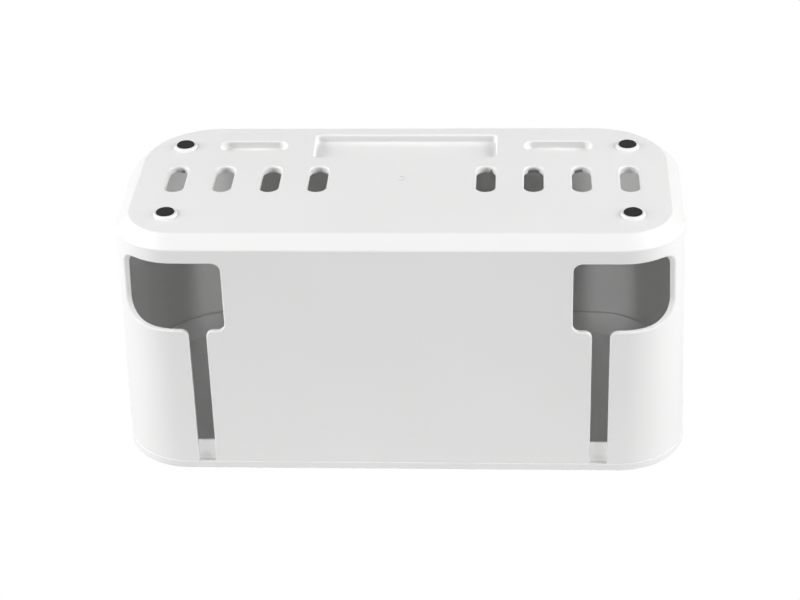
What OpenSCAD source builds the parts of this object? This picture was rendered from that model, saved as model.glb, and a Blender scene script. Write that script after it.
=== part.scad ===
// Cable management box: a moulded tub with cable outlets round its two rear corners,
// a lift-off lid with an inner lip, and four rubber feet.
// The box stands on its feet on z = 0, with its outlets towards +Y and its lid towards +Z.

/* [Tub] */
// Width of the tub across its outer walls, just above the base chamfer
base_w = 312.8; // [290:0.1:340]
// Depth of the tub from front to rear, just above the base chamfer
base_d = 139.2; // [130:0.1:160]
// Height of the tub from its underside to its rim
tub_h = 142.9; // [110:0.1:180]
// Outside radius of the two rear corners, just above the base chamfer
corner_r = 35; // [30:0.5:42]
// Outside radius of the two front corners, just above the base chamfer
front_corner_r = 48; // [43:0.5:54]
// Lean of the walls, so that the moulding leaves its mould
draft = 1.55; // [0.5:0.05:2]
// Thickness of the walls
wall_t = 2.6; // [2:0.1:3.2]
// Thickness of the base plate
floor_t = 4; // [3:0.1:4.6]
// How far the base chamfer cuts in from the side
chamfer_w = 7.4; // [5:0.1:9]
// How far the base chamfer rises
chamfer_h = 6.6; // [5:0.1:9]
// Rounding of the chamfer's two edges
chamfer_round = 1.6; // [0.4:0.1:2]
// Rounding of the rim's edges
rim_round = 0.2; // [0.1:0.1:0.8]

/* [Cable outlets] */
// How far each outlet reaches in from the end of the box, along the rear wall
outlet_inset = 61.2; // [59.5:0.1:71]
// Height of each outlet's lower edge above the underside
outlet_low = 14.9; // [12:0.1:22]
// Height of each outlet's upper edge above the underside
outlet_high = 57; // [50:0.1:70]
// How far each outlet reaches round the corner, from the rear face
outlet_depth = 15; // [15:0.1:24]
// Radius of the lower corner beside the middle
outlet_low_r = 5; // [2:0.5:7]
// Radius of the upper corner beside the middle
outlet_high_r = 4; // [2:0.5:6]
// Radius of the lower corner at the side
outlet_side_low_r = 8; // [2:0.5:10]
// Radius of the upper corner at the side
outlet_side_high_r = 13.7; // [8:0.1:14.5]

/* [Cable slots] */
// Distance from the end of the box to the middle of each slot
slot_inset = 45.7; // [42.5:0.1:47.3]
// Width of each slot
slot_w = 9.8; // [6:0.1:12]
// Radius where each slot runs into its outlet
slot_mouth_r = 4; // [1:0.5:5]

/* [Base vents] */
// Distance from the middle to the first vent
vent_first = 47.2; // [44:0.1:52]
// Distance between neighbouring vents
vent_pitch = 26.75; // [24:0.05:28]
// Number of vents on each side
vent_count = 4; // [1:1:4]
// Length of a vent, front to rear
vent_l = 30; // [20:0.5:34]
// Width of a vent
vent_w = 11; // [6:0.5:13]
// Rounding of the edges of vents and recesses
vent_round = 1; // [0.4:0.1:1.5]

/* [Base recesses] */
// Depth of the blind recesses
recess_depth = 4.8; // [3:0.1:6]
// Distance from the front wall to the middle of each recess
recess_front = 29.4; // [28:0.1:33]
// Length of the two slim recesses
slim_l = 39; // [30:0.5:42]
// Width of the two slim recesses
slim_w = 11.5; // [8:0.5:14]
// Distance from the middle to the middle of each slim recess
slim_x = 88; // [84:0.5:91]
// Length of the middle recess
wide_l = 105.4; // [80:0.1:108]
// Width of the middle recess
wide_w = 27.3; // [20:0.1:30]
// Corner radius of the middle recess
wide_r = 3; // [2:0.1:6]
// Rounding where a recess meets its own floor
recess_floor_round = 0.9; // [0.3:0.1:1.5]
// Diameter of the moulding gate's dimple
gate_d = 5.2; // [4:0.1:7]
// Depth of the moulding gate's dimple
gate_depth = 0.5; // [0.2:0.1:1]
// Diameter of the stub that the gate leaves in its dimple
gate_stub_d = 1.7; // [1:0.1:2.5]

/* [Lid] */
// Height of the lid's outer edge
lid_edge_h = 4.9; // [4:0.1:8]
// Thickness of the lid's plate
lid_t = 2.8; // [2:0.1:3.4]
// How far the lid stands out past the tub's rim
lid_overhang = 0.3; // [0:0.1:1]
// Rounding of the lid's upper edge
lid_round = 1.4; // [0.4:0.1:1.8]
// How far the lip reaches down inside the tub
lip_h = 12.7; // [8:0.1:18]
// Thickness of the lip
lip_t = 2; // [1.4:0.1:2.6]
// Rounding of the lip's lower edges
lip_round = 0.7; // [0.2:0.1:0.9]
// Fillet between the lip and the plate
lip_root_r = 1; // [0.3:0.1:2]
// Gap between the lip and the tub's wall
lip_gap = 0.4; // [0.2:0.05:0.8]

/* [Feet] */
// Diameter of a rubber foot
foot_d = 10; // [8:0.1:12]
// How far a foot stands out below the underside
foot_h = 2.1; // [1.6:0.1:3]
// How deep a foot is let into the base
foot_seat = 1.2; // [0.6:0.1:1.6]
// Gap round a foot in its seat
foot_gap = 0.1; // [0.05:0.05:0.3]
// Rounding of a foot's lower edge
foot_round = 0.5; // [0.2:0.1:0.8]
// Distance from each end of the box to its feet
foot_end = 28.9; // [26:0.1:32]
// Distance from the front wall to the front feet
foot_front = 30.8; // [26:0.1:34]
// Distance from the rear wall to the rear feet
foot_rear = 28.3; // [26:0.1:34]
// Width of the collar round a foot
collar_w = 1.6; // [1.3:0.1:2.4]
// How far the collar stands out below the underside
collar_h = 1.5; // [1:0.1:1.5]
// Rounding of the collar's outer edge
collar_round = 1.2; // [0.2:0.1:1.2]

/* [Hidden] */
$fn = 96;
// Steps in one rounded edge
ROUND_STEPS = 5;
// How far a cutter runs past the face it cuts
PAST = 1;
WHITE = "#f3f3f1";
RUBBER = "#1c1c1d";

// Centre of the rear corner on the right, and of the front corner on the right
rear_arc = [base_w / 2 - corner_r, base_d / 2 - corner_r];
front_arc = [base_w / 2 - front_corner_r, front_corner_r - base_d / 2];
// How much further from its centre everything lies round a front corner
front_more = front_corner_r - corner_r;
// Every profile below is measured outwards from a line corner_r inside the walls, which passes through
// the centres of the rear corners, with its heights from the underside. The profiles start at the seam,
// and a flat plate laps into them by plate_lap.
seam_inset = 4;
plate_lap = 2;
seam = corner_r - chamfer_w - seam_inset;

// Outer wall face at height z, and the inner wall face behind it
function wall_out(z) = corner_r + (z - chamfer_h) * tan(draft);
function wall_in(z) = wall_out(z) - wall_t / cos(draft);

// The inner side of the chamfer lies wall_t behind its outer side
chamfer_len = norm([chamfer_w, chamfer_h]);
chamfer_in = [corner_r - chamfer_w - wall_t * chamfer_h / chamfer_len, wall_t * chamfer_w / chamfer_len];
// How far along the chamfer its inner side meets the base plate, and the inner wall
floor_share = (floor_t - chamfer_in[1]) / chamfer_h;
wall_share = (wall_in(chamfer_in[1]) - chamfer_in[0]) / (chamfer_w - chamfer_h * tan(draft));
floor_corner = chamfer_in + floor_share * [chamfer_w, chamfer_h];
wall_corner = chamfer_in + wall_share * [chamfer_w, chamfer_h];

// Rear face of the tub at the height of the underside, and the line where the outlets end
rear_y = base_d / 2;
outlet_end_y = rear_y - outlet_depth;
// Places measured from the ends, the front and the rear of the box
outlet_x = base_w / 2 - outlet_inset;
slot_x = base_w / 2 - slot_inset;
recess_y = recess_front - base_d / 2;
foot_x = base_w / 2 - foot_end;
foot_front_y = foot_front - base_d / 2;
foot_rear_y = base_d / 2 - foot_rear;
// Far enough to pass any wall of the box
reach = base_w;

vent_xs = [for (i = [0:vent_count - 1]) vent_first + i * vent_pitch];

// Corner number i of a closed outline, rounded to radius r with an arc that touches both its sides
function corner_arc(pts, i, r) =
    let (n = len(pts), p = pts[i], a = pts[(i + n - 1) % n] - p, b = pts[(i + 1) % n] - p)
    let (u = a / norm(a), v = b / norm(b), half = acos(u * v) / 2)
    let (centre = p + (u + v) / norm(u + v) * r / sin(half))
    let (from = p + u * r / tan(half) - centre, to = p + v * r / tan(half) - centre)
    let (turn = cross(from, to) > 0 ? 180 - 2 * half : 2 * half - 180)
    [for (k = [0:ROUND_STEPS]) let (t = turn * k / ROUND_STEPS)
        centre + [from[0] * cos(t) - from[1] * sin(t), from[0] * sin(t) + from[1] * cos(t)]];

// A closed outline whose corner number i is rounded to radii[i], or left sharp where that is 0
function rounded(pts, radii) =
    [for (i = [0:len(pts) - 1]) each (radii[i] > 0 ? corner_arc(pts, i, radii[i]) : [pts[i]])];

// A straight run of a profile, which starts at the origin and faces +Y
module straight_run(profile, length) {
    rotate([90, 0, 90])
        linear_extrude(length)
            polygon(profile);
}

// Carries a profile of [distance, height] once round the box
module round_the_box(profile) {
    for (side = [0, 1])
        mirror([side, 0, 0]) {
            translate(rear_arc)
                rotate_extrude(angle = 90)
                    polygon(profile);
            translate(front_arc)
                rotate([0, 0, -90])
                    rotate_extrude(angle = 90)
                        translate([front_more, 0])
                            polygon(profile);
            translate(rear_arc)
                rotate([0, 0, -90])
                    straight_run(profile, rear_arc[1] - front_arc[1]);
        }
    translate([-rear_arc[0], rear_arc[1], 0])
        straight_run(profile, 2 * rear_arc[0]);
    translate([front_arc[0], corner_r - base_d / 2, 0])
        rotate([0, 0, 180])
            straight_run(profile, 2 * front_arc[0]);
}

// Plain block with round upright corners
module round_block(size_x, size_y, corner, low, high) {
    translate([0, 0, low])
        linear_extrude(high - low)
            union() {
                for (sx = [-1, 1], sy = [-1, 1])
                    translate([sx * (size_x / 2 - corner), sy * (size_y / 2 - corner)])
                        circle(corner);
                square([size_x - 2 * corner, size_y], center = true);
                if (size_y > 2 * corner)
                    square([size_x, size_y - 2 * corner], center = true);
            }
}

// A flat plate of the box's own outline, which laps into the profiles past their seam
module seam_plate(low, high) {
    rear_edge = seam + plate_lap;
    front_edge = rear_edge + front_more;
    right_side = [
        front_arc - [0, front_edge], front_arc + [front_edge, 0],
        rear_arc + [rear_edge, 0], rear_arc + [0, rear_edge]];
    left_side = [for (i = [3:-1:0]) [-right_side[i][0], right_side[i][1]]];
    translate([0, 0, low])
        linear_extrude(high - low)
            union() {
                polygon(concat(right_side, left_side));
                for (side = [-1, 1]) {
                    translate([side * rear_arc[0], rear_arc[1]])
                        circle(rear_edge);
                    translate([side * front_arc[0], front_arc[1]])
                        circle(front_edge);
                }
            }
}

// One side of a pocket's section: open at height 0 with a rounded edge, and level at height depth
function pocket_side(half_w, depth, edge_r, floor_r) = concat(
    [[half_w + edge_r, -PAST]],
    [for (k = [0:ROUND_STEPS]) let (t = 90 * k / ROUND_STEPS)
        [half_w + edge_r - edge_r * sin(t), edge_r - edge_r * cos(t)]],
    floor_r == 0 ? [[half_w, depth]] : [for (k = [0:ROUND_STEPS]) let (t = 90 * k / ROUND_STEPS)
        [half_w - floor_r + floor_r * cos(t), depth - floor_r + floor_r * sin(t)]]);

// The other side of such a section, in the order that closes the outline
function other_side(side) = [for (i = [len(side) - 1:-1:0]) [-side[i][0], side[i][1]]];

// A straight run of the pocket, of length run along X
module pocket_run(half_w, run, depth, edge_r, floor_r) {
    side = pocket_side(half_w, depth, edge_r, floor_r);
    translate([-run / 2, 0, 0])
        rotate([90, 0, 90])
            linear_extrude(run)
                polygon(concat(side, other_side(side)));
}

// Cutter for a pocket that opens downwards at height 0, with round corners seen from below
module pocket(size_x, size_y, corner, depth, edge_r, floor_r) {
    run_x = size_x - 2 * corner;
    run_y = size_y - 2 * corner;
    side = pocket_side(corner, depth, edge_r, floor_r);
    for (sx = [-1, 1], sy = [-1, 1])
        translate([sx * run_x / 2, sy * run_y / 2, 0])
            rotate_extrude()
                polygon(concat([[0, -PAST]], side, [[0, depth]]));
    if (run_x > 0)
        pocket_run(size_y / 2, run_x, depth, edge_r, floor_r);
    if (run_y > 0)
        rotate([0, 0, 90])
            pocket_run(size_x / 2, run_y, depth, edge_r, floor_r);
}

// Calls its children at each slim recess and at each foot's place
module at_slim_recesses() {
    for (s = [-1, 1])
        translate([s * slim_x, recess_y, 0])
            children();
}

module at_feet() {
    for (s = [-1, 1], y = [foot_front_y, foot_rear_y])
        translate([s * foot_x, y, 0])
            children();
}

// The tub's drafted wall and chamfered base edge, as one profile carried round the box
module tub_wall() {
    profile = rounded(
        [[seam, 0], [corner_r - chamfer_w, 0], [corner_r, chamfer_h], [wall_out(tub_h), tub_h],
            [wall_in(tub_h), tub_h], wall_corner, floor_corner, [seam, floor_t]],
        [0, chamfer_round, chamfer_round, rim_round, rim_round, chamfer_round, chamfer_round, 0]);
    round_the_box(profile);
}

// Raised pads inside, so that the floor over each blind recess is as thick as the wall
module recess_pads() {
    pad_top = recess_depth + wall_t;
    at_slim_recesses()
        round_block(slim_l + 2 * wall_t, slim_w + 2 * wall_t, slim_w / 2 + wall_t, 0, pad_top);
    translate([0, recess_y, 0])
        round_block(wide_l + 2 * wall_t, wide_w + 2 * wall_t, wide_r + wall_t, 0, pad_top);
}

// Low ring that frames each foot
module foot_collars() {
    outer = foot_d / 2 + foot_gap + collar_w;
    root = floor_t / 2;
    section = rounded(
        [[0, -collar_h], [outer, -collar_h], [outer, root], [0, root]],
        [0, collar_round, 0, 0]);
    at_feet()
        rotate_extrude()
            polygon(section);
}

module foot_seats() {
    at_feet()
        translate([0, 0, -collar_h - PAST])
            cylinder(h = collar_h + PAST + foot_seat, d = foot_d + 2 * foot_gap);
}

module vents() {
    for (s = [-1, 1], x = vent_xs)
        translate([s * x, 0, 0])
            pocket(vent_w, vent_l, vent_w / 2, floor_t + PAST, vent_round, 0);
}

module recesses() {
    at_slim_recesses()
        pocket(slim_l, slim_w, slim_w / 2, recess_depth, vent_round, recess_floor_round);
    translate([0, recess_y, 0])
        pocket(wide_l, wide_w, wide_r, recess_depth, vent_round, recess_floor_round);
}

// Shallow dimple with a stub left by the gate
module gate_mark() {
    difference() {
        translate([0, 0, -PAST])
            cylinder(h = PAST + gate_depth, d = gate_d);
        cylinder(h = 2 * gate_depth, d = gate_stub_d);
    }
}

// Outline of an outlet and its slot, seen from behind: x outwards, y up
module outlet_outline() {
    slot_in = slot_x - slot_w / 2;
    slot_out = slot_x + slot_w / 2;
    far = reach;
    polygon(rounded(
        [[outlet_x, outlet_low], [far, outlet_low], [far, outlet_high], [slot_out, outlet_high],
            [slot_out, tub_h + PAST], [slot_in, tub_h + PAST], [slot_in, outlet_high],
            [outlet_x, outlet_high]],
        [outlet_low_r, 0, 0, slot_mouth_r, 0, 0, slot_mouth_r, outlet_high_r]));
}

// Outline of how an outlet wraps round the corner, seen from the side: x to the rear, y up
module wrap_outline() {
    far = rear_y + corner_r;
    polygon(rounded(
        [[outlet_end_y, outlet_low], [far, outlet_low], [far, tub_h + PAST],
            [outlet_end_y, tub_h + PAST]],
        [outlet_side_low_r, 0, 0, 0]));
}

// What stays standing above the outlet at the side, with its long round corner
module wrap_stop() {
    far = rear_y + corner_r;
    difference() {
        translate([outlet_end_y - PAST, outlet_high - outlet_side_high_r])
            square([far - outlet_end_y + PAST, tub_h + 2 * PAST - outlet_high + outlet_side_high_r]);
        translate([outlet_end_y + outlet_side_high_r, outlet_high - outlet_side_high_r])
            circle(outlet_side_high_r);
        translate([outlet_end_y + outlet_side_high_r, 0])
            square([far, outlet_high]);
    }
}

// One outlet with its slot, on the +X side: the rear outline, cut only as far as the wrap goes
module outlet_cut() {
    difference() {
        intersection() {
            translate([0, rear_y + corner_r, 0])
                rotate([90, 0, 0])
                    linear_extrude(outlet_depth + corner_r)
                        outlet_outline();
            translate([outlet_x - PAST, 0, 0])
                rotate([90, 0, 90])
                    linear_extrude(reach)
                        wrap_outline();
        }
        translate([slot_x + slot_w / 2 + slot_mouth_r, 0, 0])
            rotate([90, 0, 90])
                linear_extrude(reach)
                    wrap_stop();
    }
}

module body_shell() {
    color(WHITE)
        translate([0, 0, foot_h])
            difference() {
                union() {
                    tub_wall();
                    seam_plate(0, floor_t);
                    recess_pads();
                    foot_collars();
                }
                vents();
                recesses();
                foot_seats();
                gate_mark();
                outlet_cut();
                mirror([1, 0, 0])
                    outlet_cut();
            }
}

// The lid's edge and lip, as one profile carried round the box, and its plate
module lid() {
    lip_out = [wall_in(tub_h - lip_h) - lip_gap, wall_in(tub_h) - lip_gap];
    top = tub_h + lid_edge_h;
    edge = wall_out(tub_h) + lid_overhang;
    under = top - lid_t;
    profile = rounded(
        [[seam, under], [lip_out[1] - lip_t, under], [lip_out[0] - lip_t, tub_h - lip_h],
            [lip_out[0], tub_h - lip_h], [lip_out[1], tub_h], [edge, tub_h], [edge, top], [seam, top]],
        [0, lip_root_r, lip_round, lip_round, 0, rim_round, lid_round, 0]);
    color(WHITE)
        translate([0, 0, foot_h]) {
            round_the_box(profile);
            seam_plate(under, top);
        }
}

// A rubber pad with a rounded lower edge
module foot() {
    section = rounded(
        [[0, 0], [foot_d / 2, 0], [foot_d / 2, foot_h + foot_seat], [0, foot_h + foot_seat]],
        [0, foot_round, 0, 0]);
    color(RUBBER)
        rotate_extrude()
            polygon(section);
}

module foot_front_left() {
    translate([-foot_x, foot_front_y, 0])
        foot();
}

module foot_front_right() {
    translate([foot_x, foot_front_y, 0])
        foot();
}

module foot_rear_left() {
    translate([-foot_x, foot_rear_y, 0])
        foot();
}

module foot_rear_right() {
    translate([foot_x, foot_rear_y, 0])
        foot();
}

body_shell();
lid();
foot_front_left();
foot_front_right();
foot_rear_left();
foot_rear_right();
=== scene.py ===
# %% [markdown]
# # A box that hides a power strip
# The object is a long white plastic box. A power strip and its tangle of leads lie inside, the leads
# leave through two openings that wrap round the rear corners, and a loose lid closes it. The box is two
# injection mouldings and four rubber feet.
#
# The sizes and the joint were settled in the construction model. This script only dresses that model:
# it gives each piece its finish, softens the edges that a real mould would soften, and sets up a small
# photo studio. Everything is in metres, with the feet standing on z = 0, the openings towards +Y and
# the lid towards +Z.

# %% Load the fixed frame
import math

import bmesh
import bpy
import numpy as np
from mathutils import Matrix, Vector


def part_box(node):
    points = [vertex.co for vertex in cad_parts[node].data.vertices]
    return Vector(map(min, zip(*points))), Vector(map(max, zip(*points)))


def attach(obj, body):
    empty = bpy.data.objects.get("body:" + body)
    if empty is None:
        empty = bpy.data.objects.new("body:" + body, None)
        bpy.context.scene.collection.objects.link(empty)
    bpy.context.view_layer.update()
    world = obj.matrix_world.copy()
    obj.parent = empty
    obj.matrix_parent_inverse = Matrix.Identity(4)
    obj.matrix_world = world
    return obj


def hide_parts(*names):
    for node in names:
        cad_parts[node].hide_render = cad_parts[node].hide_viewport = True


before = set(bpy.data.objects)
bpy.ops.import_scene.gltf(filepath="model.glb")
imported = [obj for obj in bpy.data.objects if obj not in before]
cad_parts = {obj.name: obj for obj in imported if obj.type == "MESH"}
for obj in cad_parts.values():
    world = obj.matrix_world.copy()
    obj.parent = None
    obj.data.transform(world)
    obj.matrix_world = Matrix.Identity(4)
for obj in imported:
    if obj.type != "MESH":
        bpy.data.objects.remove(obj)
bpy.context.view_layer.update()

scene = bpy.context.scene
MM = 0.001
for node_name in sorted(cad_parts):
    low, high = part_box(node_name)
    size_mm = [round(x / MM, 1) for x in high - low]
    print(f"{node_name}: {size_mm} mm")

# %% [markdown]
# ## Camera
# The box is seen from behind and from below, because its openings, vents and feet are the interesting
# side. A long lens from about 1.2 m away keeps the long edges nearly parallel. The camera is turned
# over, so that the base is on top of the picture. Its turn is written as three plain angles: yaw about
# the upright axis, pitch upwards, and roll about the line of sight.

# %% Camera
CAMERA_PLACE = Vector((72.16, 1039.72, -554.57)) * MM
CAMERA_YAW = math.radians(4.151)
CAMERA_PITCH = math.radians(31.409)
CAMERA_ROLL = math.radians(-1.988)
LENS_MM = 94.633
SENSOR_MM = 36.0


def looking_matrix(yaw, pitch, roll):
    """Turn of an upside-down camera that looks along -Y at yaw 0 and pitch 0. The line of sight is raised
    by pitch and swung by yaw, right is level, up is their cross product, and roll mixes right and up."""
    sight = Vector((-math.sin(yaw) * math.cos(pitch), -math.cos(yaw) * math.cos(pitch), math.sin(pitch)))
    level = Vector((math.cos(yaw), -math.sin(yaw), 0))
    over = level.cross(sight)
    right = math.cos(roll) * level + math.sin(roll) * over
    up = math.cos(roll) * over - math.sin(roll) * level
    return Matrix((right, up, -sight)).transposed()


camera_data = bpy.data.cameras.new("camera")
camera_data.lens = LENS_MM
camera_data.sensor_width = SENSOR_MM
camera_data.clip_start = 0.05
camera_data.clip_end = 20
camera = bpy.data.objects.new("camera", camera_data)
camera.matrix_world = (
    Matrix.Translation(CAMERA_PLACE) @ looking_matrix(CAMERA_YAW, CAMERA_PITCH, CAMERA_ROLL).to_4x4()
)
scene.collection.objects.link(camera)
scene.camera = camera
scene.view_settings.view_transform = "Standard"
print(f"camera {CAMERA_PLACE.length:.2f} m from the middle of the footprint, lens {LENS_MM} mm")

# %% [markdown]
# ## Building materials from nodes
# Every finish below is a small graph of nodes around one shader. These helpers keep the graphs short.
# The first makes a material with its shader and a coordinate that sticks to the object. The others add a
# noise pattern whose grain size is given in millimetres, stretch it into a useful range, and turn it
# into a colour or a bump.

# %% Node helpers


def new_material(name, **constants):
    """A material, its shader and its Object coordinate. Constants go straight on the shader's sockets."""
    material = bpy.data.materials.new(name)
    material.use_nodes = True
    shader = material.node_tree.nodes["Principled BSDF"]
    for socket, value in constants.items():
        shader.inputs[socket.replace("_", " ")].default_value = value
    place = material.node_tree.nodes.new("ShaderNodeTexCoord").outputs["Object"]
    return material, shader, place


def noise(material, place, grain_mm, detail=2.0, rough=0.5):
    """Smooth random pattern between 0 and 1, whose blobs are about grain_mm across."""
    node = material.node_tree.nodes.new("ShaderNodeTexNoise")
    node.inputs["Scale"].default_value = 1 / (grain_mm * MM)
    node.inputs["Detail"].default_value = detail
    node.inputs["Roughness"].default_value = rough
    material.node_tree.links.new(place, node.inputs["Vector"])
    return node.outputs["Fac"]


def spread(material, value, low, high, from_low=0.3, from_high=0.7):
    """Maps value from its usual range to low .. high, in a straight line."""
    node = material.node_tree.nodes.new("ShaderNodeMapRange")
    node.inputs["From Min"].default_value = from_low
    node.inputs["From Max"].default_value = from_high
    node.inputs["To Min"].default_value = low
    node.inputs["To Max"].default_value = high
    material.node_tree.links.new(value, node.inputs["Value"])
    return node.outputs["Result"]


def two_tone(material, value, first, second):
    """A colour between first and second, picked by value."""
    node = material.node_tree.nodes.new("ShaderNodeMix")
    node.data_type = "RGBA"
    node.inputs["A"].default_value = (*first, 1)
    node.inputs["B"].default_value = (*second, 1)
    material.node_tree.links.new(value, node.inputs["Factor"])
    return node.outputs["Result"]


def relief(material, value, height_mm, strength, under=None):
    """Bump of the given height, laid over an earlier bump if there is one."""
    node = material.node_tree.nodes.new("ShaderNodeBump")
    node.inputs["Strength"].default_value = strength
    node.inputs["Distance"].default_value = height_mm * MM
    material.node_tree.links.new(value, node.inputs["Height"])
    if under is not None:
        material.node_tree.links.new(under, node.inputs["Normal"])
    return node.outputs["Normal"]


# %% [markdown]
# ## White plastic
# Both mouldings are opaque white plastic from a spark-eroded mould. The mould's steel has a very fine
# matt grain, so the plastic is satin rather than shiny, and its highlights are broad. A thin wall also
# shrinks a little unevenly as it cools, which leaves slow waves that only show in reflections. So the
# material has three scales: slow waves of a few centimetres, soft patches in the gloss, and the grain.

# %% White plastic
PLASTIC_TONES = (0.868, 0.868, 0.864), (0.884, 0.884, 0.881)


def make_white_plastic():
    """Satin white: slow tones and waves, patches in the gloss, and a fine grain."""
    material, shader, place = new_material("white_plastic_satin", IOR=1.49, Roughness=0.42)
    links = material.node_tree.links
    tone = spread(material, noise(material, place, grain_mm=70, detail=1), low=0, high=1)
    links.new(two_tone(material, tone, *PLASTIC_TONES), shader.inputs["Base Color"])
    gloss = noise(material, place, grain_mm=9, detail=3, rough=0.6)
    links.new(spread(material, gloss, low=0.37, high=0.46), shader.inputs["Roughness"])
    waves = relief(material, noise(material, place, grain_mm=45, detail=0), height_mm=0.35, strength=0.2)
    grain = noise(material, place, grain_mm=0.35, detail=2, rough=0.55)
    links.new(relief(material, grain, height_mm=0.03, strength=0.35, under=waves), shader.inputs["Normal"])
    return material


white_plastic = make_white_plastic()
print(f"{white_plastic.name}: {len(white_plastic.node_tree.nodes)} nodes")

# %% [markdown]
# ## Black rubber
# The feet are soft black rubber. Rubber scatters hardly any light, has a dull surface with a fine pebble
# grain, and picks up a little pale dust, so its black is never quite even.

# %% Black rubber
RUBBER_TONES = (0.005, 0.005, 0.0055), (0.016, 0.016, 0.016)


def make_black_rubber():
    """Dull black with specks of pale dust, an uneven dullness and a pebble grain."""
    material, shader, place = new_material("black_rubber_matt", IOR=1.45, Roughness=0.7)
    shader.inputs["Specular IOR Level"].default_value = 0.25
    links = material.node_tree.links
    specks = noise(material, place, grain_mm=0.9, detail=4, rough=0.65)
    dust = spread(material, specks, low=0, high=1, from_low=0.45, from_high=0.75)
    links.new(two_tone(material, dust, *RUBBER_TONES), shader.inputs["Base Color"])
    dullness = noise(material, place, grain_mm=1.6, detail=2)
    links.new(spread(material, dullness, low=0.62, high=0.8), shader.inputs["Roughness"])
    pebbles = noise(material, place, grain_mm=0.25, detail=2, rough=0.6)
    links.new(relief(material, pebbles, height_mm=0.04, strength=0.5), shader.inputs["Normal"])
    return material


black_rubber = make_black_rubber()
print(f"{black_rubber.name}: {len(black_rubber.node_tree.nodes)} nodes")

# %% [markdown]
# ## The wall's formula
# The tub's wall leans outwards by 1.55 degrees, so that the moulding leaves its mould. A level cut through
# it, above the base's chamfer, is a rectangle with round corners, and the centres of those corners stay
# put at every height. So one distance from the rear centres says where the wall is, and the front corners
# are a fixed amount wider. The tub's edges and the lid both need to know that distance. It could be
# measured on the construction model, but a formula shows where it comes from. All lengths in it are in
# millimetres.

# %% The wall's formula
BASE_WIDTH, BASE_DEPTH = 312.8, 139.2
REAR_RADIUS, FRONT_RADIUS = 35.0, 48.0
CHAMFER_HEIGHT, TUB_HEIGHT, FOOT_HEIGHT = 6.6, 142.9, 2.1
WALL_DRAFT = math.radians(1.55)
WALL_THICK = 2.6
WALL_START_Z = FOOT_HEIGHT + CHAMFER_HEIGHT
RIM_Z = FOOT_HEIGHT + TUB_HEIGHT
REAR_ARC = (BASE_WIDTH / 2 - REAR_RADIUS, BASE_DEPTH / 2 - REAR_RADIUS)
FRONT_ARC = (BASE_WIDTH / 2 - FRONT_RADIUS, FRONT_RADIUS - BASE_DEPTH / 2)
FRONT_MORE = FRONT_RADIUS - REAR_RADIUS


def wall_outside(z):
    """Distance of the wall's outer face from the rear corners' centres at height z. It is the corner's
    radius where the wall starts, plus the rise above that times the tangent of the draft."""
    return REAR_RADIUS + (z - WALL_START_Z) * math.tan(WALL_DRAFT)


def wall_inside(z):
    """The same for the inner face. It is the outer distance less the wall's thickness, which is measured
    square to the leaning wall and so is divided by the cosine of the draft."""
    return wall_outside(z) - WALL_THICK / math.cos(WALL_DRAFT)


print(f"the wall at the rim lies {wall_inside(RIM_Z):.2f} to {wall_outside(RIM_Z):.2f} mm from the centres")

# %% [markdown]
# ## The tub
# The construction model cuts the openings with knife-sharp edges. A moulding has none: steel that sharp
# chips, and the plastic would cut the leads. So the tub is copied, its loose triangles are joined, the
# flat faces are cleaned of needless lines, and each edge of the outlets and slots that is still sharp
# gets a small round. The outer edges get more than the inner ones, which nobody touches. Which is which
# follows from the wall's own formula: an edge is an outer one if it lies beyond the middle of the wall.
# Remodelling the tub by hand was the other way, but a copy keeps every opening exactly where the
# construction model has it.

# %% The tub, with its edges softened
WELD = 0.01 * MM
OPENING_LOW, OPENING_HIGH, OPENING_FRONT = 12, 143, 50
FLAT_WITHIN = math.radians(0.2)
SHARP_OVER = math.radians(40)
EDGE_ROUND = 0.7 * MM
EDGE_STEPS = 3
INNER_SHARE = 0.3


def joined_copy(node_name, piece_name):
    """A copy of a node as one closed skin: corners closer than WELD become one, and lines between faces
    that lie in one plane are dissolved."""
    skin = bmesh.new()
    skin.from_mesh(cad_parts[node_name].data)
    bmesh.ops.remove_doubles(skin, verts=skin.verts, dist=WELD)
    bmesh.ops.dissolve_limit(skin, angle_limit=FLAT_WITHIN, verts=skin.verts, edges=skin.edges)
    mesh = bpy.data.meshes.new(piece_name)
    skin.to_mesh(mesh)
    turns = np.array([edge.calc_face_angle(0) for edge in skin.edges])
    skin.free()
    piece = bpy.data.objects.new(piece_name, mesh)
    scene.collection.objects.link(piece)
    return piece, turns


def smooth_shading(piece):
    """Shades the piece smoothly up to SHARP_OVER, with wide flat faces setting the shade of their edges."""
    piece.data.shade_smooth()
    piece.data.set_sharp_from_angle(angle=SHARP_OVER)
    even = piece.modifiers.new("even_shading", "WEIGHTED_NORMAL")
    even.keep_sharp = True


def dress(piece, node_name, body, material):
    """Puts the piece in the place of a construction node, on its body and with its finish."""
    piece.data.materials.clear()
    piece.data.materials.append(material)
    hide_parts(node_name)
    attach(piece, body)


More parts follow.
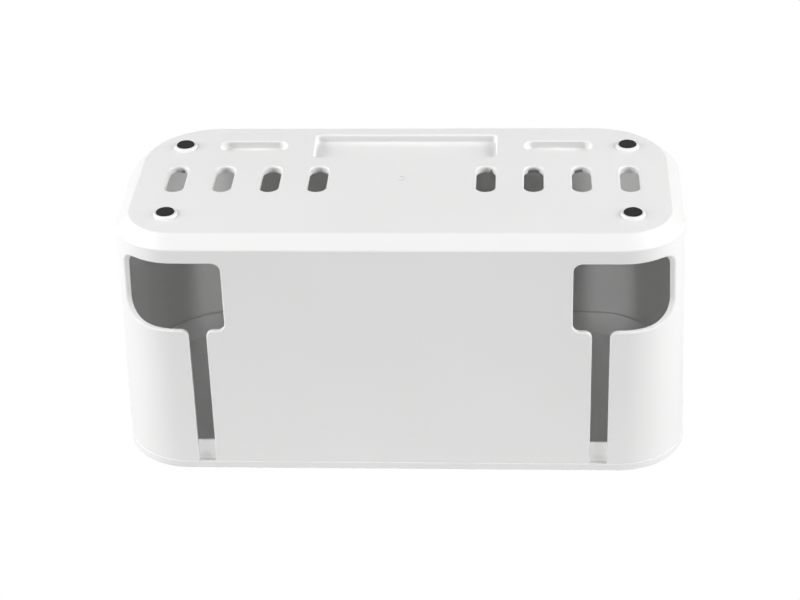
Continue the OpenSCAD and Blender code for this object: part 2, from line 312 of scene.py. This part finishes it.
tub, edge_turns = joined_copy("body_shell", "tub_shell")
ends = np.empty(len(tub.data.edges) * 2, np.int32)
tub.data.edges.foreach_get("vertices", ends)
places = np.empty(len(tub.data.vertices) * 3, np.float32)
tub.data.vertices.foreach_get("co", places)
middles = places.reshape(-1, 3)[ends.reshape(-1, 2)].mean(axis=1) / MM
x, y, z = middles.T
in_opening = (y > OPENING_FRONT) & (z > OPENING_LOW) & (z < OPENING_HIGH)
from_arc = np.hypot(np.maximum(abs(x) - REAR_ARC[0], 0), y - REAR_ARC[1])
mid_wall = (wall_outside(z) + wall_inside(z)) / 2
share = np.where(from_arc > mid_wall, 1.0, INNER_SHARE)
weights = np.where((edge_turns > SHARP_OVER) & in_opening, share, 0.0).astype(np.float32)
attribute = tub.data.attributes.new("bevel_weight_edge", "FLOAT", "EDGE")
attribute.data.foreach_set("value", weights)
print(f"tub: {len(tub.data.polygons)} faces, {np.count_nonzero(weights)} edges to soften")

bevel = tub.modifiers.new("soft_edges", "BEVEL")
bevel.limit_method = "WEIGHT"
bevel.width = EDGE_ROUND
bevel.segments = EDGE_STEPS
bevel.use_clamp_overlap = False
bevel.loop_slide = False
smooth_shading(tub)
dress(tub, "body_shell", "tub", white_plastic)

# %% [markdown]
# ## Skins from rings
# The lid and the feet are each a section that is carried round a closed path. Extrude and bevel would
# make them too, but every change of size would mean doing it again. Here the section is a short list of
# corners with a radius for each, the path is a formula, and numpy lays one over the other. That gives a
# stack of closed rings, and the faces between them are even, fine where an edge is round and wide where
# it is flat.

# %% Sections and rings
ARC_STEPS = 8
SAME_POINT = 1e-7


def rounded_section(corners, radii):
    """Section with its corners rounded. At each corner the arc's centre lies on the line that halves the
    angle, radius / sin(half angle) away. The arc turns evenly from the point where it touches one side to
    the point where it touches the other, each radius / tan(half angle) from the corner. A radius of 0
    leaves the corner as it is."""
    corner = np.array(corners, float)
    radius = np.array(radii, float)[:, None]
    back = np.roll(corner, 1, axis=0) - corner
    on = np.roll(corner, -1, axis=0) - corner
    back /= np.linalg.norm(back, axis=1, keepdims=True)
    on /= np.linalg.norm(on, axis=1, keepdims=True)
    half = np.arccos((back * on).sum(axis=1, keepdims=True)) / 2
    inward = (back + on) / np.linalg.norm(back + on, axis=1, keepdims=True)
    centre = corner + inward * radius / np.sin(half)
    start = corner + back * radius / np.tan(half) - centre
    side = np.sign(back[:, :1] * on[:, 1:] - back[:, 1:] * on[:, :1])
    angle = side * (2 * half - np.pi) * np.linspace(0, 1, ARC_STEPS + 1)
    first = start[:, :1] * np.cos(angle) - start[:, 1:] * np.sin(angle)
    second = start[:, :1] * np.sin(angle) + start[:, 1:] * np.cos(angle)
    points = (centre[:, None] + np.stack([first, second], axis=-1)).reshape(-1, 2)
    return points[np.linalg.norm(points - np.roll(points, 1, axis=0), axis=1) > SAME_POINT]


def skin_over(name, rings):
    """Mesh object over a stack of closed rings, an array of rings by points by xyz. Point j of ring i is
    joined to point j + 1 and to ring i + 1 by a four-sided face, and one flat face closes each end."""
    count, around = rings.shape[:2]
    index = np.arange(count * around).reshape(count, around)
    beside = np.roll(index, -1, axis=1)
    sides = np.stack([index[:-1], beside[:-1], beside[1:], index[1:]], axis=-1).reshape(-1, 4)
    ends = [index[0, ::-1].tolist(), index[-1].tolist()]
    mesh = bpy.data.meshes.new(name)
    mesh.from_pydata(rings.reshape(-1, 3).tolist(), [], sides.tolist() + ends)
    piece = bpy.data.objects.new(name, mesh)
    scene.collection.objects.link(piece)
    print(f"{name}: {count} rings of {around} points")
    return piece


# %% [markdown]
# ## The lid
# The lid is one moulding. Its outer edge is a band 4.9 mm high, a hair wider than the tub, with a soft
# round where it meets the top and a smaller one below. Inside that band a lip drops 12.7 mm into the tub
# and keeps the lid from sliding off. The lip leans inwards like the tub's wall, so the lid goes in
# easily, and its lower edge is round, so it finds its own way. Both cable slots show a piece of the lip.
#
# Its section is carried along a rectangle with round corners, which are wider at the front than at the
# rear. Every point of the section keeps its own distance from the corner centres, so the corners of all
# the rings share those centres, and at the front a fixed amount is added to that distance.

# %% The lid
BAND_HEIGHT, PLATE_THICK, LID_OVERHANG = 4.9, 2.8, 0.3
LIP_HEIGHT, LIP_THICK, LIP_GAP = 12.7, 2.0, 0.4
TOP_ROUND, BAND_ROUND, LIP_ROUND, LIP_ROOT = 1.4, 0.2, 0.7, 1.0
LID_TOP_Z = RIM_Z + BAND_HEIGHT
LID_UNDER_Z = LID_TOP_Z - PLATE_THICK
LID_EDGE = wall_outside(RIM_Z) + LID_OVERHANG
LIP_END_Z = RIM_Z - LIP_HEIGHT
LIP_AT_RIM = wall_inside(RIM_Z) - LIP_GAP
LIP_AT_END = wall_inside(LIP_END_Z) - LIP_GAP
PLATE_START = 15.0


def round_the_box(section, arc_steps=24, long_steps=32, short_steps=10):
    """Rings of the section carried round the box. A station is a centre, an extra distance and a
    direction. Round a corner the first two stay and the direction turns by 90 degrees; along a side the
    direction stays and the first two slide to the next corner. A point of the section lies at its own
    height, its own distance plus the extra one from the centre in that direction."""
    (x, y), (front_x, front_y) = REAR_ARC, FRONT_ARC
    more = FRONT_MORE
    corner = np.array([(x, y, 0), (-x, y, 0), (-front_x, front_y, more), (front_x, front_y, more)])
    after = np.roll(corner, -1, axis=0)
    centres, angles = [], []
    for quarter, side_steps in enumerate((long_steps, short_steps, long_steps, short_steps)):
        turn = np.pi / 2 * (quarter + np.linspace(0, 1, arc_steps + 1))
        share = np.linspace(0, 1, side_steps + 1)[1:-1, None]
        centres += [np.repeat(corner[quarter : quarter + 1], arc_steps + 1, axis=0)]
        centres += [corner[quarter] + share * (after[quarter] - corner[quarter])]
        angles += [turn, np.full(side_steps - 1, turn[-1])]
    station = np.concatenate(centres)
    angle = np.concatenate(angles)
    way = np.c_[np.cos(angle), np.sin(angle)]
    flat = station[:, :2] + (section[:, None, :1] + station[:, 2:]) * way
    height = np.broadcast_to(section[:, None, 1:], (len(section), len(angle), 1))
    return np.concatenate([flat, height], axis=-1)


lid_section = rounded_section(
    [
        (PLATE_START, LID_UNDER_Z),
        (LIP_AT_RIM - LIP_THICK, LID_UNDER_Z),
        (LIP_AT_END - LIP_THICK, LIP_END_Z),
        (LIP_AT_END, LIP_END_Z),
        (LIP_AT_RIM, RIM_Z),
        (LID_EDGE, RIM_Z),
        (LID_EDGE, LID_TOP_Z),
        (PLATE_START, LID_TOP_Z),
    ],
    [0, LIP_ROOT, LIP_ROUND, LIP_ROUND, 0, BAND_ROUND, TOP_ROUND, 0],
)
lid = skin_over("lid_cover", round_the_box(lid_section) * MM)
smooth_shading(lid)
dress(lid, "lid", "cover", white_plastic)

# %% [markdown]
# ## The feet
# Four pads of black rubber are pressed into seats in the base, each inside a low collar. A pad is a disc
# 10 mm across and stands 2.1 mm proud of the base. Its section is carried round its own axis, so its
# rings are circles. The edge is a little round, as rubber that has been stamped and then stood on is.

# %% The feet
FOOT_RADIUS, FOOT_SEAT = 5.0, 1.2
FOOT_ROUND, SEAT_ROUND = 0.5, 0.2
FOOT_TOP_Z = FOOT_HEIGHT + FOOT_SEAT
FOOT_CENTRE = 0.5
FOOT_STEPS = 72


def turned(section, x, y):
    """Rings of the section turned round an upright axis at x and y: each point becomes a circle whose
    radius is its distance from the axis."""
    angle = np.linspace(0, 2 * np.pi, FOOT_STEPS, endpoint=False)
    radius = section[:, None, 0]
    height = np.broadcast_to(section[:, None, 1], (len(section), FOOT_STEPS))
    return np.stack([x + radius * np.cos(angle), y + radius * np.sin(angle), height], axis=-1)


foot_section = rounded_section(
    [(FOOT_CENTRE, 0), (FOOT_RADIUS, 0), (FOOT_RADIUS, FOOT_TOP_Z), (FOOT_CENTRE, FOOT_TOP_Z)],
    [0, FOOT_ROUND, SEAT_ROUND, 0],
)
for node_name in [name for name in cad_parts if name.startswith("foot_")]:
    low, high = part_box(node_name)
    x, y = (np.array(low) + np.array(high))[:2] / 2 / MM
    foot = skin_over(node_name + "_pad", turned(foot_section, x, y) * MM)
    smooth_shading(foot)
    dress(foot, node_name, "tub", black_rubber)

# %% [markdown]
# ## White that lights nothing
# The floor and the background should look white and yet send no light to the box, or the box would have
# no shading. So both ask what kind of ray has reached them, and the first helper answers that. The
# second one mixes two shaders, which the floor does twice.

# %% Helpers for the floor and the background


def seen_directly(nodes, links):
    """A value that is 1 for rays from the camera, a mirror-like surface or glass, and 0 for all others."""
    rays = nodes.new("ShaderNodeLightPath")
    seen = rays.outputs["Is Camera Ray"]
    for kind in ("Is Glossy Ray", "Is Transmission Ray"):
        either = nodes.new("ShaderNodeMath")
        either.operation = "MAXIMUM"
        links.new(seen, either.inputs[0])
        links.new(rays.outputs[kind], either.inputs[1])
        seen = either.outputs[0]
    return seen


def mixed(nodes, links, share, first, second):
    """The first shader where share is 0, and the second where it is 1."""
    node = nodes.new("ShaderNodeMixShader")
    links.new(share, node.inputs["Fac"])
    links.new(first.outputs[0], node.inputs[1])
    links.new(second.outputs[0], node.inputs[2])
    return node


# %% [markdown]
# ## The floor
# The box stands on a sheet of pale paper. The paper is one wide square just under the feet. Seen from
# above it catches the box's shadow. Seen from below it has to vanish, because the box is looked at from
# that side too, so its back is clear. It also sends no light back to the box and stops none, which leaves
# the lamps below free to light the base.
#
# Most of its whiteness is its own, as in a studio where the paper is lit by lamps that do nothing else.
# That share grows with the distance from the box, until the paper runs into the white background without
# a line. Close to the box enough is left to the other lamps to keep a soft shadow. The paper's own white
# also dims where the box shuts the room out, which is a painted shadow along the box's foot; without it
# the paper would seem to glow there.

# %% The floor
FLOOR_HALF = 3.0
FLOOR_GAP = 0.2 * MM
PAPER_COLOUR = 0.92
OWN_WHITE = 0.75
FADE_FROM, FADE_TO = 0.4, 1.6
# How far from the box the painted shadow in the paper's own white reaches.
SHADOW_REACH = 120 * MM


def own_white_share(nodes, links):
    """How much of the paper is its own white: OWN_WHITE up to FADE_FROM metres from the middle, rising
    smoothly to 1 at FADE_TO metres, and nothing for rays that would carry the white on to the box."""
    distance = nodes.new("ShaderNodeVectorMath")
    distance.operation = "LENGTH"
    links.new(nodes.new("ShaderNodeTexCoord").outputs["Object"], distance.inputs[0])
    fade = nodes.new("ShaderNodeMapRange")
    fade.interpolation_type = "SMOOTHSTEP"
    ranges = {"From Min": FADE_FROM, "From Max": FADE_TO, "To Min": OWN_WHITE, "To Max": 1}
    for socket, value in ranges.items():
        fade.inputs[socket].default_value = value
    links.new(distance.outputs["Value"], fade.inputs["Value"])
    share = nodes.new("ShaderNodeMath")
    share.operation = "MULTIPLY"
    links.new(fade.outputs["Result"], share.inputs[0])
    links.new(seen_directly(nodes, links), share.inputs[1])
    return share.outputs[0]


def make_paper():
    """Diffuse paper mixed with its own white on the upper side, that white darkened near the box as a
    painted shadow, and clear on the lower side.
    """
    material = bpy.data.materials.new("floor_paper")
    material.use_nodes = True
    nodes, links = material.node_tree.nodes, material.node_tree.links
    nodes.clear()
    paper = nodes.new("ShaderNodeBsdfDiffuse")
    paper.inputs["Color"].default_value = (PAPER_COLOUR, PAPER_COLOUR, PAPER_COLOUR, 1)
    # Ambient occlusion darkens the paper's own white near the box: a painted contact shadow, not shade from
    # a lamp.
    painted_contact_shadow = nodes.new("ShaderNodeAmbientOcclusion")
    painted_contact_shadow.inputs["Distance"].default_value = SHADOW_REACH
    white = nodes.new("ShaderNodeEmission")
    links.new(painted_contact_shadow.outputs["Color"], white.inputs["Color"])
    clear = nodes.new("ShaderNodeBsdfTransparent")
    upper = mixed(nodes, links, own_white_share(nodes, links), paper, white)
    lower_side = nodes.new("ShaderNodeNewGeometry").outputs["Backfacing"]
    both = mixed(nodes, links, lower_side, upper, clear)
    links.new(both.outputs[0], nodes.new("ShaderNodeOutputMaterial").inputs["Surface"])
    return material


def make_floor():
    """One square, FLOOR_GAP under the feet, that sends no light to the box and stops none on its way."""
    mesh = bpy.data.meshes.new("floor")
    corners = np.array([(-1, -1), (1, -1), (1, 1), (-1, 1)]) * FLOOR_HALF
    mesh.from_pydata(np.c_[corners, np.full(4, -FLOOR_GAP)].tolist(), [], [(0, 1, 2, 3)])
    mesh.materials.append(make_paper())
    floor = bpy.data.objects.new("floor", mesh)
    scene.collection.objects.link(floor)
    floor.visible_diffuse = False
    floor.visible_glossy = False
    floor.visible_shadow = False
    return floor


floor = make_floor()
print(f"floor: {2 * FLOOR_HALF:.0f} m square")

# %% [markdown]
# ## The background
# Beyond the paper there is only the background. It is white for rays that come from the camera, a
# mirror-like surface or glass, and black for all others.

# %% The background


def make_background():
    """A world whose strength is 1 where it is seen directly, and 0 elsewhere."""
    world = bpy.data.worlds.new("studio")
    scene.world = world
    world.use_nodes = True
    nodes, links = world.node_tree.nodes, world.node_tree.links
    nodes["Background"].inputs["Color"].default_value = (1, 1, 1, 1)
    links.new(seen_directly(nodes, links), nodes["Background"].inputs["Strength"])


make_background()

# %% [markdown]
# ## The lamps
# White plastic needs soft light from several sides, or its round corners look flat. Each lamp is a soft
# box that faces the middle of the object. It is placed by its bearing (0 is behind the box, 90 is off its
# right end), its lift above the level and its distance. Most of the light comes from the two ends and
# from a little below, so it rakes over the base, and the walls of the vents and recesses stand out. The
# small lamp straight behind shines through the outlets, and the last two light the front and the lid.
# The front lamp lights the box but doesn't show in it, because seen from behind it would glare off the
# lid.
#
# Light also bounces many times inside a white box before it comes out again, so more bounces than usual
# are followed.

# %% The lamps
AIM = Vector((0, 0, 75)) * MM
WITHOUT_GLARE = "front"
BOUNCES = 12


def soft_box(name, bearing, lift, distance, width, height, watts):
    """A flat lamp, width by height, that faces AIM. Its place is AIM plus distance times the direction
    that turns bearing degrees from +Y towards +X and rises lift degrees."""
    turn, rise = math.radians(bearing), math.radians(lift)
    level = Vector((math.sin(turn), math.cos(turn), 0)) * math.cos(rise)
    place = AIM + distance * (level + Vector((0, 0, math.sin(rise))))
    lamp = bpy.data.lights.new(name, "AREA")
    lamp.shape = "RECTANGLE"
    lamp.size = width
    lamp.size_y = height
    lamp.energy = watts
    holder = bpy.data.objects.new(name, lamp)
    holder.location = place
    holder.rotation_euler = (AIM - place).to_track_quat("-Z", "Y").to_euler()
    scene.collection.objects.link(holder)
    return holder


# name, bearing, lift, distance in metres, width and height in metres, watts
LAMPS = [
    ("behind", 0, -3, 1.5, 0.3, 0.3, 8),
    ("left_end", -85, -20, 1.5, 0.7, 0.7, 10),
    ("right_end", 85, -20, 1.5, 0.7, 0.7, 10),
    ("left_corner", -70, -30, 1.5, 0.7, 0.7, 6),
    ("right_corner", 70, -30, 1.5, 0.7, 0.7, 5),
    ("left_below", -90, -45, 1.5, 0.7, 0.7, 6),
    ("right_below", 90, -45, 1.5, 0.7, 0.7, 7),
    ("over_rim", 0, 50, 0.6, 0.8, 0.2, 1),
    ("front", 180, 25, 1.5, 0.8, 0.8, 17),
    ("over_lid", 90, 80, 1.5, 1.0, 1.0, 5),
]
for lamp in LAMPS:
    holder = soft_box(*lamp)
    holder.visible_glossy = holder.name != WITHOUT_GLARE
scene.cycles.diffuse_bounces = BOUNCES
scene.cycles.max_bounces = BOUNCES
print(f"{len(LAMPS)} lamps, {sum(lamp[-1] for lamp in LAMPS):.0f} W in all")
